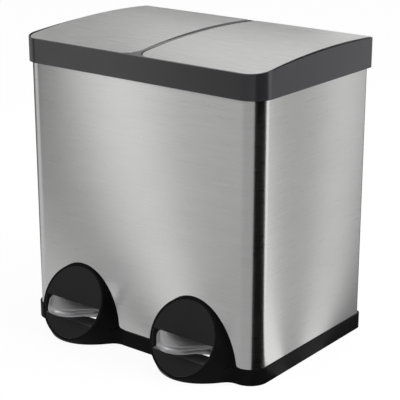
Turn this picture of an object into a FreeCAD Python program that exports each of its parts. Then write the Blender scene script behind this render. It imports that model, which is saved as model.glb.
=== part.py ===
import FreeCAD, Part
import math
import os
import re

import Sketcher

# Double pedal bin: a steel shell with two lids side by side, each opened by its
# own pedal through a lever and a push rod.
# X runs across the front, +Z up. While the pieces are drawn, Y = 0 is the front
# steel wall and Y grows towards the back; ORIGIN_SHIFT then moves every piece so
# that the origin lies on the floor in the middle of the whole bin's footprint.
# A size that starts with = follows from the sizes above it.

document = FreeCAD.newDocument("DoublePedalBin")
sheet = document.addObject("Spreadsheet::Sheet", "Dimensions")

DIMENSIONS = [
    ("bodyWidth", 400.0, "steel shell, outside width"),
    ("bodyDepth", 260.0, "steel shell, outside depth"),
    ("lidPeak", 430.4, "highest point of the lids"),
    ("frontCorner", 25.0, "radius of the shell's front corners"),
    ("rearCorner", 8.0, "radius of the shell's rear corners"),
    ("sheetThick", 0.8, "steel sheet of the shell and lids"),
    ("sheetFit", 0.2, "clearance of the sheet in its grooves"),
    ("grooveDepth", 12.0, "how far the shell stands in the base and in the frame"),
    ("seamWidth", 16.0, "lap seam down the back of the shell"),
    ("floorGap", 1.0, "height of the base's rim over the floor"),
    ("baseTop", 23.5, "top of the base's outer rim"),
    ("baseOverhang", 2.9, "how far the base's rim stands out of the shell"),
    ("plasticWall", 2.5, "wall of the base moulding"),
    ("archHalfWidth", 66.0, "pod's outline on the front wall, half width"),
    ("archHeight", 86.0, "pod's outline on the front wall, half height"),
    ("archCentreZ", 20.0, "height of that outline's centre"),
    ("archLip", 4.0, "how far the pod's edge covers the steel"),
    ("podOffset", "=bodyWidth / 4", "pods and pedals from the middle of the bin"),
    ("discRadius", 54.6, "pod's tilted front face"),
    ("discTilt", 24.9, "its tilt from upright, degrees"),
    ("discOut", 24.0, "its centre in front of the wall"),
    ("discZ", 54.5, "its centre above the floor"),
    ("faceMargin", 3.3, "pod's rim round the insert"),
    ("faceRadius", "=discRadius - faceMargin", "round insert in the pod's front"),
    ("faceThick", 2.5, "plate of the insert"),
    ("faceCup", 14.0, "depth of the insert's ring"),
    ("faceRing", 1.5, "wall of the insert's ring"),
    ("faceFit", 0.2, "clearance round the insert"),
    ("windowLow", 8.0, "lower edge of the lever's way through the deck's front wall"),
    ("slotLow", 31.7, "lower edge of the pedal's slot"),
    ("pedalHalfWidth", 46.4, "half-moon pedal plate, half width at its back"),
    ("pedalNose", 33.0, "radius of its nose"),
    ("pedalShoulder", 20.0, "radius of its shoulders"),
    ("shoulderBack", 15.6, "rear end of the shoulders in front of the wall"),
    ("pedalReach", 60.0, "pedal's tip in front of the wall"),
    ("pedalBack", 12.0, "pedal plate's rear edge in front of the wall"),
    ("shelfInset", 2.0, "slot's floor behind the pedal's rear edge"),
    ("shelfBack", "=pedalBack - shelfInset", "rear edge of the slot's floor, in front of the wall"),
    ("pedalTop", 54.5, "top of the pedal plate"),
    ("slotAbove", 0.8, "slot's upper edge over the pedal plate"),
    ("slotHigh", "=pedalTop + slotAbove", "upper edge of the pedal's slot"),
    ("deckAbove", 6.5, "deck over the pedal plate"),
    ("deckTop", "=pedalTop + deckAbove", "floor that the buckets stand on"),
    ("pedalSkirt", 8.5, "depth of its turned-down edge"),
    ("pedalRound", 7.5, "rounding of its top edge"),
    ("pedalSheet", 1.5, "its steel"),
    ("flangeFront", 38.0, "where the pedal's turned-down edge starts to deepen"),
    ("flangeAboveSlot", 7.6, "pedal's turned-down edge over the slot's floor, at its rear end"),
    ("flangeEndLow", "=slotLow + flangeAboveSlot", "lowest point of the pedal's turned-down edge"),
    ("pivotY", 35.0, "pedal pivot behind the front wall"),
    ("pivotZ", 27.0, "pedal pivot above the floor"),
    ("pinRadius", 4.0, "pedal pin"),
    ("pinHeadRadius", 6.0, "head of the pedal pin"),
    ("pinClearance", 0.05, "running clearance on the pedal pin, radial"),
    ("leverWidth", 24.0, "steel bar of the lever"),
    ("leverThick", 5.0, "its thickness"),
    ("leverRest", 14.5, "lever's rear end, top, at rest"),
    ("leverFront", 46.0, "lever's front end in front of the wall"),
    ("bossRadius", 8.0, "lever's pivot boss"),
    ("bossLength", 44.0, "its length"),
    ("bracketSheet", 2.5, "steel of the pedal brackets and lift arms"),
    ("earGap", 0.5, "side play of the lever between the bracket's ears"),
    ("earDepth", 18.0, "bracket's ears, front to back"),
    ("bracketScrewSide", 11.0, "bracket's screws from its middle"),
    ("bracketScrewBack", 9.0, "bracket's screws behind the pivot"),
    ("bracketDepth", 28.0, "pedal bracket, front to back"),
    ("hingeInset", 4.0, "lid hinge in front of the shell's rear face"),
    ("hingeY", "=bodyDepth - hingeInset", "lid hinge behind the front wall"),
    ("hingeDrop", 16.4, "lid hinge below the top of the lids"),
    ("hingeZ", "=lidPeak - hingeDrop", "lid hinge above the floor"),
    ("hingeRod", 2.0, "radius of the hinge rod"),
    ("hingeClearance", 0.08, "running clearance on the hinge rod, radial"),
    ("barrelRadius", 5.5, "lid's hinge barrel"),
    ("rodArm", 18.0, "push rod in front of the hinge"),
    ("leverPastRod", 10.0, "lever's rear end behind the push rod"),
    ("leverBack", "=hingeY - rodArm + leverPastRod", "lever's rear end behind the front wall"),
    ("rodRadius", 2.5, "push rod"),
    ("rodPlay", 0.3, "gap between the lever and the push rod"),
    ("armPlay", 0.8, "gap between the push rod and the lid's arm"),
    ("armSlope", 40.0, "slope of the lid arm's underside, degrees"),
    ("armThick", 4.0, "fin of the lift arm"),
    ("finReach", 6.0, "fin's front edge in front of the push rod"),
    ("flangeSide", 18.0, "lift arm's flange, half width"),
    ("flangeReach", 10.0, "flange in front of the fin"),
    ("armScrewSide", 12.0, "lift arm's screws from its middle"),
    ("frameDepth", 44.8, "lower edge of the lid frame below the top of the lids"),
    ("frameBottom", "=lidPeak - frameDepth", "lower edge of the lid frame"),
    ("guideDrop", 33.6, "push rod's guide below the lid frame"),
    ("guideZ", "=frameBottom - guideDrop", "underside of the push rod's guide"),
    ("guideHeight", 10.0, "the guide's height"),
    ("guideWidth", 18.0, "the guide's width"),
    ("guideClearance", 0.4, "clearance round the rod in its guides"),
    ("frameOverhang", 4.4, "how far the frame stands out of the shell"),
    ("rimDrop", 1.6, "frame's rim below the lids"),
    ("rimPeak", "=lidPeak - rimDrop", "highest point of the frame's arched rim"),
    ("rimArch", 1635.0, "radius of the rim's arch"),
    ("archInset", 88.0, "where both arches are highest, in front of the shell's rear face"),
    ("archPeakY", "=bodyDepth - archInset", "where both arches are highest, behind the front wall"),
    ("frameRearCorner", 8.0, "radius of the frame's rear corners"),
    ("rimWall", 3.0, "frame's rim round the lids"),
    ("openingFront", 4.4, "front edge of the bucket openings"),
    ("openingInset", 12.0, "bucket openings in front of the shell's rear face"),
    ("openingRear", "=bodyDepth - openingInset", "rear edge of the bucket openings"),
    ("openingEdge", 5.0, "bucket openings in from the shell's side"),
    ("openingSide", "=bodyWidth / 2 - openingEdge", "outer edge of the bucket openings"),
    ("openingInner", 7.5, "inner edge of the bucket openings"),
    ("barFront", 2.6, "half width of the bar between the lids, front"),
    ("barRear", 6.4, "half width of the bar between the lids, rear"),
    ("lidArch", 1250.0, "radius of the lids' arch"),
    ("lidGap", 1.2, "gap round each lid"),
    ("lidCorner", 22.0, "radius of the lids' front corners"),
    ("lidRearInset", 2.0, "lids' rear edge inside the frame's rear face"),
    ("lidDepth", 24.4, "underside of the lids below their highest point"),
    ("lidBottom", "=lidPeak - lidDepth", "underside of the lids"),
    ("ledgeGap", 1.0, "gap between the frame's ledge and the lids"),
    ("ledgeTop", "=lidBottom - ledgeGap", "ledge in the frame that the lids close over"),
    ("skinDepth", 15.4, "lower edge of the lids' steel below their highest point"),
    ("skinBottom", "=lidPeak - skinDepth", "lower edge of the lids' steel"),
    ("linerWall", 2.5, "wall of the lids' plastic liner"),
    ("linerFit", 0.1, "clearance between steel and liner"),
    ("hollowInset", 38.0, "liner's solid rear end, in front of the hinge"),
    ("hollowRear", "=hingeY - hollowInset", "rear end of the liner's hollow"),
    ("bucketSide", 6.75, "bucket's rim in from its opening's sides"),
    ("bucketWidth", "=openingSide - openingInner - 2 * bucketSide", "bucket's rim, width"),
    ("bucketFront", 12.0, "bucket's rim behind the front wall"),
    ("bucketBack", 32.0, "bucket's rim in front of the shell's rear face"),
    ("bucketDepth", "=bodyDepth - bucketFront - bucketBack", "bucket's rim, depth"),
    ("bucketCorner", 24.0, "bucket's corner radius"),
    ("bucketRim", 3.0, "rim's width outside the bucket's wall"),
    ("bucketRimHeight", 6.0, "rim's height"),
    ("bucketDrop", 7.6, "bucket's rim below the lid frame"),
    ("bucketTop", "=frameBottom - bucketDrop", "top of the bucket's rim"),
    ("bucketDraft", 5.0, "how much each wall leans in towards the floor"),
    ("bucketWall", 2.0, "bucket's wall"),
    ("bucketSeat", 0.3, "gap under the bucket"),
    ("bailRadius", 2.0, "bucket handle's wire"),
    ("bailGap", 1.5, "gap between the wire and the rim"),
    ("bailElbow", 3.0, "bend radius of the wire at its pivots"),
    ("bailEnd", 3.5, "how far the wire's ends reach in past the rim"),
    ("bailClearance", 0.08, "running clearance on the wire's ends, radial"),
    ("bailDrop", 12.0, "handle's pivots below the bucket's top"),
    ("bailZ", "=bucketTop - bailDrop", "height of the handle's pivots"),
    ("bailBend", 18.0, "bend radius of the handle's corners"),
    ("lugRadius", 5.0, "bucket's lugs for the handle"),
    ("gripRadius", 3.2, "sleeve on the handle"),
    ("gripLength", 80.0, "its length"),
    ("footRadius", 9.0, "rubber foot"),
    ("footInset", 18.0, "feet in from the shell's sides"),
    ("footThick", 3.0, "rubber foot's height"),
    ("gusset", 30.0, "corner blocks that hold the feet"),
    ("gussetTop", 9.0, "top of those blocks"),
    ("screwHead", 4.0, "screw head's radius"),
    ("screwHeadHeight", 2.0, "its height"),
    ("screwShank", 1.8, "screw's radius"),
    ("wallScrew", 10.0, "length of the screws at the back, under the head"),
    ("armScrew", 8.0, "length of the lift arms' screws"),
    ("bracketScrew", 4.4, "length of the pedal brackets' screws"),
    ("screwInset", 50.0, "screws at the back, in from the shell's sides"),
    ("screwSide", "=bodyWidth / 2 - screwInset", "screws at the back, from the middle of the bin"),
    ("frameScrewRise", 5.9, "frame's screws over the frame's lower edge"),
    ("frameScrewZ", "=frameBottom + frameScrewRise", "height of the frame's screws"),
    ("baseScrewDrop", 6.0, "base's screws below the base's rim"),
    ("baseScrewZ", "=baseTop - baseScrewDrop", "height of the base's screws"),
    ("bumperSide", 60.0, "lid bumpers from the lid's middle"),
    ("bumperLength", 12.0, "rubber bumper under the lid"),
    ("bumperGap", 0.3, "gap between bumper and lid"),
    ("restWidth", 20.0, "stop that the handle lies on"),
    ("overcut", 1.0, "how far a cutting shape reaches past the face it opens"),
]
for row, (alias, size, note) in enumerate(DIMENSIONS, start=1):
    sheet.set(f"A{row}", alias)
    sheet.set(f"B{row}", str(size))
    sheet.set(f"C{row}", note)
    sheet.setAlias(f"B{row}", alias)
document.recompute()
ALIASES = {alias for alias, size, note in DIMENSIONS}
ORIGIN_SHIFT = "(pedalReach - bodyDepth - frameOverhang - screwHeadHeight) / 2"
SUB_PARTS = []


def bound(text):
    """Give each alias in an expression the name of its sheet."""
    return re.sub(r"[A-Za-z]+", lambda word: f"Dimensions.{word[0]}" if word[0] in ALIASES else word[0], text)


def value(text):
    return float(sheet.evalExpression(re.sub(r"Dimensions\.", "", bound(text))))


def bind(feature, **expressions):
    """Bind a feature's properties to sheet expressions; __ stands for a dot."""
    for name, text in expressions.items():
        feature.setExpression(name.replace("__", "."), bound(text))


def finish(feature, label):
    """Name a finished piece and move it to its place in the bin."""
    feature.Label = label
    SUB_PARTS.append(feature)
    return feature


# ---------- sketches and pads ----------

def newBody(name):
    return document.addObject("PartDesign::Body", name)


def sketchOn(body, name, role, x="0", y="0", z="0"):
    sketch = body.newObject("Sketcher::SketchObject", name)
    plane = next(item for item in body.Origin.OriginFeatures if item.Role == role)
    sketch.AttachmentSupport = [(plane, "")]
    sketch.MapMode = "FlatFace"
    bind(sketch, AttachmentOffset__Base__x=x, AttachmentOffset__Base__y=y, AttachmentOffset__Base__z=z)
    return sketch


def constrain(sketch, kind, *places, size=None):
    """Add a constraint; with a size, bind its value to that expression."""
    if size is None:
        return sketch.addConstraint(Sketcher.Constraint(kind, *places))
    index = sketch.addConstraint(Sketcher.Constraint(kind, *places, value(size)))
    sketch.setExpression(f"Constraints[{index}]", bound(size))
    return index


def roundedRectangle(sketch, width, depth, frontRadius, rearRadius):
    """Rectangle about the sketch's origin; its low-Y corners have frontRadius."""
    halfX, halfY = value(width) / 2, value(depth) / 2
    low, high = value(frontRadius), value(rearRadius)
    point = FreeCAD.Vector
    lines = [
        (point(-halfX + low, -halfY), point(halfX - low, -halfY)),
        (point(halfX, -halfY + low), point(halfX, halfY - high)),
        (point(halfX - high, halfY), point(-halfX + high, halfY)),
        (point(-halfX, halfY - high), point(-halfX, -halfY + low)),
    ]
    for start, end in lines:
        sketch.addGeometry(Part.LineSegment(start, end), False)
    corners = [
        (point(halfX - low, -halfY + low), low, 3),
        (point(halfX - high, halfY - high), high, 0),
        (point(-halfX + high, halfY - high), high, 1),
        (point(-halfX + low, -halfY + low), low, 2),
    ]
    for centre, radius, quarter in corners:
        circle = Part.Circle(centre, point(0, 0, 1), radius)
        start = quarter * math.pi / 2
        sketch.addGeometry(Part.ArcOfCircle(circle, start, start + math.pi / 2), False)
    for side in range(4):
        corner = 4 + side
        constrain(sketch, "Tangent", side, 2, corner, 1)
        constrain(sketch, "Tangent", corner, 2, (side + 1) % 4, 1)
    for side, kind in enumerate(("Horizontal", "Vertical", "Horizontal", "Vertical")):
        constrain(sketch, kind, side)
    constrain(sketch, "Equal", 4, 7)
    constrain(sketch, "Equal", 5, 6)
    constrain(sketch, "Radius", 4, size=frontRadius)
    constrain(sketch, "Radius", 5, size=rearRadius)
    constrain(sketch, "DistanceX", 3, 1, 1, 1, size=width)
    constrain(sketch, "DistanceY", 0, 1, 2, 1, size=depth)
    constrain(sketch, "DistanceX", -1, 1, 1, 1, size=f"({width}) / 2")
    constrain(sketch, "DistanceY", -1, 1, 2, 1, size=f"({depth}) / 2")


def polygon(sketch, corners):
    """Closed outline through corners given as pairs of expressions."""
    points = [FreeCAD.Vector(value(across), value(up), 0) for across, up in corners]
    for index, start in enumerate(points):
        sketch.addGeometry(Part.LineSegment(start, points[(index + 1) % len(points)]), False)
    for index, (across, up) in enumerate(corners):
        constrain(sketch, "Coincident", index, 2, (index + 1) % len(points), 1)
        constrain(sketch, "DistanceX", -1, 1, index, 1, size=across)
        constrain(sketch, "DistanceY", -1, 1, index, 1, size=up)


def pad(body, sketch, length, midplane=False, name="Pad"):
    feature = body.newObject("PartDesign::Pad", f"{body.Name}_{name}")
    feature.Profile = sketch
    feature.Midplane = midplane
    bind(feature, Length=length)
    sketch.Visibility = False
    body.Tip = feature
    return feature


def prism(name, low, high, width, depth, frontRadius, rearRadius, x="0", y="bodyDepth / 2"):
    """Upright rounded block between two heights, as a body."""
    body = newBody(name)
    sketch = sketchOn(body, f"{name}_outline", "XY_Plane", x=x, y=y, z=low)
    roundedRectangle(sketch, width, depth, frontRadius, rearRadius)
    pad(body, sketch, f"({high}) - ({low})")
    return body


def profileBar(name, corners, width, x):
    """Side profile of (Y, Z) corners with a thickness along X, centred on x."""
    body = newBody(name)
    sketch = sketchOn(body, f"{name}_profile", "YZ_Plane", z=x)
    polygon(sketch, corners)
    pad(body, sketch, width, midplane=True)
    return body


# ---------- primitives and booleans ----------

def box(name, x, y, z):
    """Box between pairs of expressions for its low and high X, Y and Z."""
    feature = document.addObject("Part::Box", name)
    bind(feature, Length=f"({x[1]}) - ({x[0]})", Width=f"({y[1]}) - ({y[0]})", Height=f"({z[1]}) - ({z[0]})")
    bind(feature, Placement__Base__x=x[0], Placement__Base__y=y[0], Placement__Base__z=z[0])
    return feature


TURNS = {
    "up": (FreeCAD.Vector(0, 0, 1), 0.0),
    "right": (FreeCAD.Vector(0, 1, 0), 90.0),
    "back": (FreeCAD.Vector(-1, 0, 0), 90.0),
}


def cylinder(name, radius, length, x, y, z, along="up"):
    """Cylinder from a point, running up, to the right or to the back."""
    feature = document.addObject("Part::Cylinder", name)
    feature.Placement.Rotation = FreeCAD.Rotation(*TURNS[along])
    bind(feature, Radius=radius, Height=length)
    bind(feature, Placement__Base__x=x, Placement__Base__y=y, Placement__Base__z=z)
    return feature


def discCylinder(name, radius, start, length):
    """Cylinder square to the pod's tilted face, from start to start + length behind it."""
    feature = document.addObject("Part::Cylinder", name)
    feature.Placement.Rotation = FreeCAD.Rotation(FreeCAD.Vector(-1, 0, 0), 90.0 + value("discTilt"))
    bind(feature, Radius=radius, Height=length, Placement__Rotation__Angle="90 + discTilt")
    bind(feature, Placement__Base__x="podOffset")
    bind(feature, Placement__Base__y=f"-discOut + ({start}) * cos(discTilt)")
    bind(feature, Placement__Base__z=f"discZ - ({start}) * sin(discTilt)")
    return feature


def cut(name, base, *tools):
    for index, tool in enumerate(tools):
        feature = document.addObject("Part::Cut", f"{name}_{index}" if index < len(tools) - 1 else name)
        feature.Base = base
        feature.Tool = tool
        base = feature
    return base


def fuse(name, *shapes):
    feature = document.addObject("Part::MultiFuse", name)
    feature.Shapes = list(shapes)
    return feature


def common(name, first, second):
    feature = document.addObject("Part::MultiCommon", name)
    feature.Shapes = [first, second]
    return feature


def group(name, members):
    feature = document.addObject("Part::Compound", name)
    feature.Links = list(members)
    return feature


def mirrored(name, source):
    """Copy of a right-hand piece on the left of the bin."""
    feature = document.addObject("Part::Mirroring", name)
    feature.Source = source
    feature.Normal = FreeCAD.Vector(1, 0, 0)
    return feature


def archCylinder(name, radius, peak):
    """Great cylinder along X whose top is the arch of the rim or of the lids."""
    centreZ = f"({peak}) - ({radius})"
    return cylinder(name, radius, "2 * bodyWidth", "-bodyWidth", "archPeakY", centreZ, "right")


def screwUp(name, x, y, z, length):
    """Screw driven upwards, and the hole it needs; z is its head's seat."""
    head = cylinder(f"{name}_head", "screwHead", "screwHeadHeight", x, y, f"({z}) - screwHeadHeight")
    shank = cylinder(f"{name}_shank", "screwShank", length, x, y, z)
    hole = cylinder(f"{name}_hole", "screwShank", f"2 * {length}", x, y, f"({z}) - {length}")
    return fuse(name, head, shank), hole


def screwForward(name, x, y, z, length):
    """Screw driven towards the front from behind, and its hole; y is its head's seat."""
    head = cylinder(f"{name}_head", "screwHead", "screwHeadHeight", x, y, z, "back")
    shank = cylinder(f"{name}_shank", "screwShank", length, x, f"({y}) - {length}", z, "back")
    hole = cylinder(f"{name}_hole", "screwShank", f"2 * {length}", x, f"({y}) - {length}", z, "back")
    return fuse(name, head, shank), hole


# ---------- pods: the two housings that the pedals come out of ----------

def podSolid():
    """Ruled flank from the arch on the wall to the tilted round face."""
    out, centreZ, tilt = value("discOut"), value("discZ"), math.radians(value("discTilt"))
    middle = value("podOffset")
    archCentre = FreeCAD.Vector(middle, 0, value("archCentreZ"))
    arch = Part.Ellipse(
        archCentre + FreeCAD.Vector(0, 0, value("archHeight")),
        archCentre + FreeCAD.Vector(value("archHalfWidth"), 0, 0),
        archCentre,
    )
    discCentre = FreeCAD.Vector(middle, -out, centreZ)
    upAlong = FreeCAD.Vector(0, math.sin(tilt), math.cos(tilt)) * value("discRadius")
    sideways = FreeCAD.Vector(value("discRadius"), 0, 0)
    quarters = []
    for curve in ("arch", "disc"):
        edges = []
        for quarter in range(4):
            start = quarter * math.pi / 2
            if curve == "arch":
                edges.append(Part.ArcOfEllipse(arch, start, start + math.pi / 2).toShape())
            else:
                points = []
                for angle in (start, start + math.pi / 4, start + math.pi / 2):
                    points.append(discCentre + upAlong * math.cos(angle) + sideways * math.sin(angle))
                edges.append(Part.Arc(*points).toShape())
        quarters.append(Part.Wire(edges))
    return Part.makeLoft(quarters, True, True)


podFlank = document.addObject("Part::Feature", "podFlank")
podFlank.Shape = podSolid()
floorBlock = box(
    "podRoom",
    ("podOffset - 2 * archHalfWidth", "podOffset + 2 * archHalfWidth"),
    ("-2 * pedalReach", "bodyDepth"),
    ("floorGap", "2 * archHeight"),
)
rightPod = common("rightPod", podFlank, floorBlock)
leftPod = mirrored("leftPod", rightPod)


def ellipticPlate(name, inset, front, back):
    """Upright elliptical plate that follows the pod's outline, inset from it."""
    body = newBody(name)
    sketch = sketchOn(body, f"{name}_outline", "XZ_Plane", x="podOffset", y="archCentreZ", z=f"-({front})")
    tall, wide = value(f"archHeight - ({inset})"), value(f"archHalfWidth - ({inset})")
    point = FreeCAD.Vector
    sketch.addGeometry(Part.Ellipse(point(0, tall, 0), point(wide, 0, 0), point(0, 0, 0)), False)
    sketch.exposeInternalGeometry(0)
    constrain(sketch, "Coincident", 0, 3, -1, 1)
    constrain(sketch, "PointOnObject", 1, 1, -2)
    constrain(sketch, "Distance", 1, size=f"2 * (archHeight - ({inset}))")
    constrain(sketch, "Distance", 2, size=f"2 * (archHalfWidth - ({inset}))")
    feature = pad(body, sketch, f"({back}) - ({front})")
    feature.Reversed = True
    return common(f"{name}_aboveFloor", body, floorBlock)



# ---------- base moulding ----------

INSIDE_WIDTH = "(bodyWidth - 2 * sheetThick - 2 * sheetFit)"
INSIDE_DEPTH = "(bodyDepth - 2 * sheetThick - 2 * sheetFit)"
INSIDE_FRONT = "(frontCorner - sheetThick - sheetFit)"
INSIDE_REAR = "(rearCorner - sheetThick - sheetFit)"


def steelGroove(name, low, high):
    """Ring that leaves room for the edge of the steel shell."""
    outer = prism(
        f"{name}_outer", low, high, "bodyWidth + 2 * sheetFit", "bodyDepth + 2 * sheetFit",
        "frontCorner + sheetFit", "rearCorner + sheetFit",
    )
    inner = prism(
        f"{name}_inner", f"({low}) - sheetThick", f"({high}) + sheetThick",
        INSIDE_WIDTH, INSIDE_DEPTH, INSIDE_FRONT, INSIDE_REAR,
    )
    return cut(name, outer, inner)


baseRim = prism(
    "baseRim", "floorGap", "baseTop", "bodyWidth + 2 * baseOverhang", "bodyDepth + 2 * baseOverhang",
    "frontCorner + baseOverhang", "rearCorner + baseOverhang",
)
baseDeck = prism("baseDeck", "floorGap", "deckTop", INSIDE_WIDTH, INSIDE_DEPTH, INSIDE_FRONT, INSIDE_REAR)
podThrough = ellipticPlate("podThrough", "archLip + sheetFit", "-sheetFit", "sheetThick + 2 * sheetFit")
podBacking = ellipticPlate(
    "podBacking", "-faceFit", "sheetThick + sheetFit", "sheetThick + sheetFit + plasticWall")
rightPodParts = fuse("rightPodParts", podThrough, podBacking)
leftPodParts = mirrored("leftPodParts", rightPodParts)
baseCavity = prism(
    "baseCavity", "-floorGap", "deckTop - plasticWall",
    f"{INSIDE_WIDTH} - 2 * plasticWall", f"{INSIDE_DEPTH} - 2 * plasticWall",
    f"{INSIDE_FRONT} - plasticWall", f"{INSIDE_REAR} - plasticWall",
)
baseSolid = fuse("baseSolid", baseRim, baseDeck, rightPod, leftPod, rightPodParts, leftPodParts)
baseGroove = steelGroove("baseGroove", "grooveDepth", "baseTop + overcut")
baseHollow = cut("baseHollow", baseSolid, baseCavity, baseGroove)

podBoreRound = discCylinder("podBoreRound", "faceRadius + faceFit", "-pedalReach", "4 * pedalReach")
podBoreRoom = box(
    "podBoreRoom",
    ("podOffset - archHalfWidth", "podOffset + archHalfWidth"),
    ("-2 * pedalReach", "sheetThick + sheetFit"),
    ("-archHeight", "2 * archHeight"),
)
podBore = common("podBore", podBoreRound, podBoreRoom)
podWindow = box(
    "podWindow",
    ("podOffset - pedalHalfWidth", "podOffset + pedalHalfWidth"),
    ("-plasticWall", "sheetThick + 3 * plasticWall"),
    ("windowLow", "deckTop - 2 * plasticWall"),
)
pushRodHole = cylinder(
    "pushRodHole", "rodRadius + guideClearance", "4 * plasticWall",
    "podOffset", "hingeY - rodArm", "deckTop - 2 * plasticWall",
)
rightBaseCuts = fuse("rightBaseCuts", podBore, podWindow, pushRodHole)
leftBaseCuts = mirrored("leftBaseCuts", rightBaseCuts)
baseOpened = cut("baseOpened", baseHollow, rightBaseCuts, leftBaseCuts)


def atCorners(name, make):
    """Four copies of a small piece, one at each foot."""
    pieces = []
    for side, x in (("left", "footInset - bodyWidth / 2"), ("right", "bodyWidth / 2 - footInset")):
        for end, y in (("front", "footInset"), ("rear", "bodyDepth - footInset")):
            pieces.append(make(f"{name}_{side}_{end}", x, y))
    return pieces


def footBlock(name, x, y):
    return box(
        name, (f"{x} - gusset / 2", f"{x} + gusset / 2"), (f"{y} - gusset / 2", f"{y} + gusset / 2"),
        ("floorGap", "gussetTop"),
    )


EAR_INNER = "(bossLength / 2 + earGap)"
DECK_UNDER = "(deckTop - plasticWall)"
bracketScrews = []
bracketHoles = []
for index, sign in enumerate((-1, 1)):
    made, hole = screwUp(
        f"bracketScrew{index}", f"podOffset + {sign} * bracketScrewSide", "pivotY + bracketScrewBack",
        f"{DECK_UNDER} - bracketSheet", "bracketScrew",
    )
    bracketScrews.append(made)
    bracketHoles.append(hole)
bracketDrill = fuse("bracketDrill", *bracketHoles)
baseScrew, baseScrewHole = screwForward(
    "baseScrew", "screwSide", "bodyDepth + baseOverhang", "baseScrewZ", "wallScrew")
footBlocks = common("footBlocks", fuse("footBlockSet", *atCorners("footBlock", footBlock)), baseDeck)
footSockets = fuse("footSockets", *atCorners(
    "footSocket", lambda name, x, y: cylinder(name, "footRadius", "footThick", x, y, "0")))
finish(cut(
    "base", fuse("baseBlocked", baseOpened, footBlocks), footSockets, bracketDrill,
    mirrored("leftBracketDrill", bracketDrill), baseScrewHole, mirrored("leftBaseScrewHole", baseScrewHole),
), "base")
finish(group("base_screws", [baseScrew, mirrored("leftBaseScrew", baseScrew)]), "base_screws")
finish(group("rubber_feet", atCorners(
    "foot", lambda name, x, y: cylinder(name, "footRadius", "footThick", x, y, "0"))), "rubber_feet")

# ---------- steel shell ----------

shellOuter = prism(
    "shellOuter", "grooveDepth + sheetFit", "frameBottom + grooveDepth - sheetFit",
    "bodyWidth", "bodyDepth", "frontCorner", "rearCorner",
)
shellInner = prism(
    "shellInner", "0", "frameBottom + 2 * grooveDepth",
    "bodyWidth - 2 * sheetThick", "bodyDepth - 2 * sheetThick",
    "frontCorner - sheetThick", "rearCorner - sheetThick",
)
shellArch = ellipticPlate("shellArch", "archLip", "-sheetThick", "2 * sheetThick")
shellSeam = box(
    "shellSeam", ("-seamWidth / 2", "seamWidth / 2"),
    ("bodyDepth - sheetThick / 2", "bodyDepth + sheetThick"), ("baseTop + sheetFit", "frameBottom - sheetFit"),
)
shellTube = cut("shellTube", shellOuter, shellInner, shellArch, mirrored("leftShellArch", shellArch))
shellWrap = fuse("shellWrap", shellTube, shellSeam)
frameScrew, frameScrewHole = screwForward(
    "frameScrew", "screwSide", "bodyDepth + frameOverhang", "frameScrewZ", "wallScrew")
guideScrew, guideScrewHole = screwForward(
    "guideScrew", "podOffset", "bodyDepth", "guideZ + guideHeight / 2", "wallScrew")
shellDrill = fuse("shellDrill", frameScrewHole, guideScrewHole, baseScrewHole)
finish(cut("outer_shell", shellWrap, shellDrill, mirrored("leftShellDrill", shellDrill)), "outer_shell")
finish(group("frame_screws", [frameScrew, mirrored("leftFrameScrew", frameScrew)]), "frame_screws")
finish(group("guide_screws", [guideScrew, mirrored("leftGuideScrew", guideScrew)]), "guide_screws")

# ---------- pod insert, pedal and lever, right-hand side ----------

faceCup = cut(
    "faceCup",
    discCylinder("faceOuter", "faceRadius", "0", "faceCup"),
    discCylinder("faceInner", "faceRadius - faceRing", "faceThick", "faceCup"),
)
slotBand = box(
    "slotBand", ("podOffset - discRadius", "podOffset + discRadius"),
    ("-2 * pedalReach", "0"), ("slotLow", "slotHigh"),
)
slotRound = discCylinder("slotRound", "faceRadius - faceRing", "-faceThick", "2 * faceCup")
shelfBand = box(
    "shelfBand", ("podOffset - discRadius", "podOffset + discRadius"), ("-2 * pedalReach", "-shelfBack"),
    ("slotLow - faceThick", "slotLow"),
)
shelfRound = discCylinder("shelfRound", "faceRadius", "0", "2 * discRadius")
faceRoom = box(
    "faceRoom", ("podOffset - discRadius", "podOffset + discRadius"), ("-2 * pedalReach", "sheetThick"),
    ("0", "2 * archHeight"),
)
finish(common("right_pod_face", fuse(
    "faceWhole",
    cut("faceSlotted", faceCup, common("slotTool", slotBand, slotRound)),
    common("slotShelf", shelfBand, shelfRound),
), faceRoom), "right_pod_face")


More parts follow.
